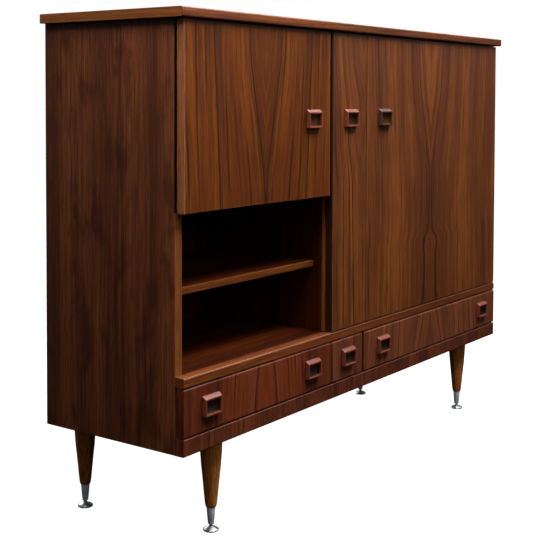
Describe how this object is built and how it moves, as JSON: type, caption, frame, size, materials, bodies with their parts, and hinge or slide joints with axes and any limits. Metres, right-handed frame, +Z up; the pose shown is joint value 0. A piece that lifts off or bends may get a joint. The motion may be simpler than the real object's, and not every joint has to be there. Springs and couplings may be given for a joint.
{
  "type": "highboard cabinet",
  "caption": "Tall veneered cabinet on tapered legs, with overlay doors, an open shelf bay, and drawers below a waist rail.",
  "frame": {"origin": "on the floor under the middle of the cabinet", "axes": "+X along the front to the viewer's right, +Y from the doors to the back, +Z up"},
  "size_m": [1.634, 0.445, 1.211],
  "materials": {
    "top_veneer": "oiled teak veneer",
    "side_veneer": "oiled teak veneer, darker figure",
    "front_veneer": "oiled teak veneer, book-matched",
    "lipping": "solid teak lipping",
    "inner_veneer": "plain veneered board",
    "handle_wood": "solid reddish teak",
    "leg_wood": "turned solid teak",
    "box_wood": "plain beech",
    "plywood": "thin plywood",
    "pivot_brass": "satin brass",
    "ferrule_metal": "satin grey metal",
    "foot_chrome": "bright chrome"
  },
  "bodies": {
    "cabinet": {"apron_left": "front_veneer", "apron_right": "front_veneer", "back_left": "plywood", "back_right": "plywood", "base_panel": "inner_veneer", "cupboard_floor": "inner_veneer", "cupboard_shelf_left": "inner_veneer", "cupboard_shelf_narrow": "inner_veneer", "cupboard_shelf_wide": "inner_veneer", "drawer_partition_left": "inner_veneer", "drawer_partition_right": "inner_veneer", "ferrule_front_left": "ferrule_metal", "ferrule_front_right": "ferrule_metal", "ferrule_rear_left": "ferrule_metal", "ferrule_rear_right": "ferrule_metal", "left_door_stop": "inner_veneer", "leg_front_left": "leg_wood", "leg_front_right": "leg_wood", "leg_rear_left": "leg_wood", "leg_rear_right": "leg_wood", "open_shelf": "lipping", "pivot_left_bottom": "pivot_brass", "pivot_left_top": "pivot_brass", "pivot_narrow_bottom": "pivot_brass", "pivot_narrow_top": "pivot_brass", "pivot_wide_bottom": "pivot_brass", "pivot_wide_top": "pivot_brass", "side_left": "side_veneer", "side_right": "side_veneer", "top_panel": "top_veneer", "upper_partition_left": "lipping", "upper_partition_right": "inner_veneer", "waist_rail": "lipping", "waist_shelf": "inner_veneer"},
    "left_door": {"door_left": "front_veneer", "handle_door_left": "handle_wood"},
    "narrow_door": {"door_narrow": "front_veneer", "handle_door_narrow": "handle_wood"},
    "wide_door": {"door_wide": "front_veneer", "handle_door_wide": "handle_wood"},
    "left_drawer": {"drawer_left_front": "front_veneer", "drawer_left_box": "box_wood", "drawer_left_bottom": "plywood", "handle_drawer_left_outer": "handle_wood", "handle_drawer_left_inner": "handle_wood"},
    "narrow_drawer": {"drawer_narrow_front": "front_veneer", "drawer_narrow_box": "box_wood", "drawer_narrow_bottom": "plywood", "handle_drawer_narrow": "handle_wood"},
    "wide_drawer": {"drawer_wide_front": "front_veneer", "drawer_wide_box": "box_wood", "drawer_wide_bottom": "plywood", "handle_drawer_wide_inner": "handle_wood", "handle_drawer_wide_outer": "handle_wood"},
    "front_left_foot": {"foot_front_left": "foot_chrome"},
    "front_right_foot": {"foot_front_right": "foot_chrome"},
    "rear_left_foot": {"foot_rear_left": "foot_chrome"},
    "rear_right_foot": {"foot_rear_right": "foot_chrome"}
  },
  "joints": [
    {"name": "left_door_swing", "type": "hinge", "parent": "cabinet", "child": "left_door", "pos_m": [-0.792, -0.2015, 0.973], "axis": [0, 0, -1], "range_deg": [0, 105]},
    {"name": "narrow_door_swing", "type": "hinge", "parent": "cabinet", "child": "narrow_door", "pos_m": [-0.194, -0.2015, 0.7935], "axis": [0, 0, -1], "range_deg": [0, 90]},
    {"name": "wide_door_swing", "type": "hinge", "parent": "cabinet", "child": "wide_door", "pos_m": [0.792, -0.2015, 0.7935], "axis": [0, 0, 1], "range_deg": [0, 105]},
    {"name": "left_drawer_slide", "type": "slide", "parent": "cabinet", "child": "left_drawer", "axis": [0, -1, 0], "range_m": [0, 0.3]},
    {"name": "narrow_drawer_slide", "type": "slide", "parent": "cabinet", "child": "narrow_drawer", "axis": [0, -1, 0], "range_m": [0, 0.3]},
    {"name": "wide_drawer_slide", "type": "slide", "parent": "cabinet", "child": "wide_drawer", "axis": [0, -1, 0], "range_m": [0, 0.3]},
    {"name": "front_left_foot_screw", "type": "slide", "parent": "cabinet", "child": "front_left_foot", "axis": [0, 0, 1], "range_m": [0, 0.004]},
    {"name": "front_right_foot_screw", "type": "slide", "parent": "cabinet", "child": "front_right_foot", "axis": [0, 0, 1], "range_m": [0, 0.004]},
    {"name": "rear_left_foot_screw", "type": "slide", "parent": "cabinet", "child": "rear_left_foot", "axis": [0, 0, 1], "range_m": [0, 0.004]},
    {"name": "rear_right_foot_screw", "type": "slide", "parent": "cabinet", "child": "rear_right_foot", "axis": [0, 0, 1], "range_m": [0, 0.004]}
  ]
}
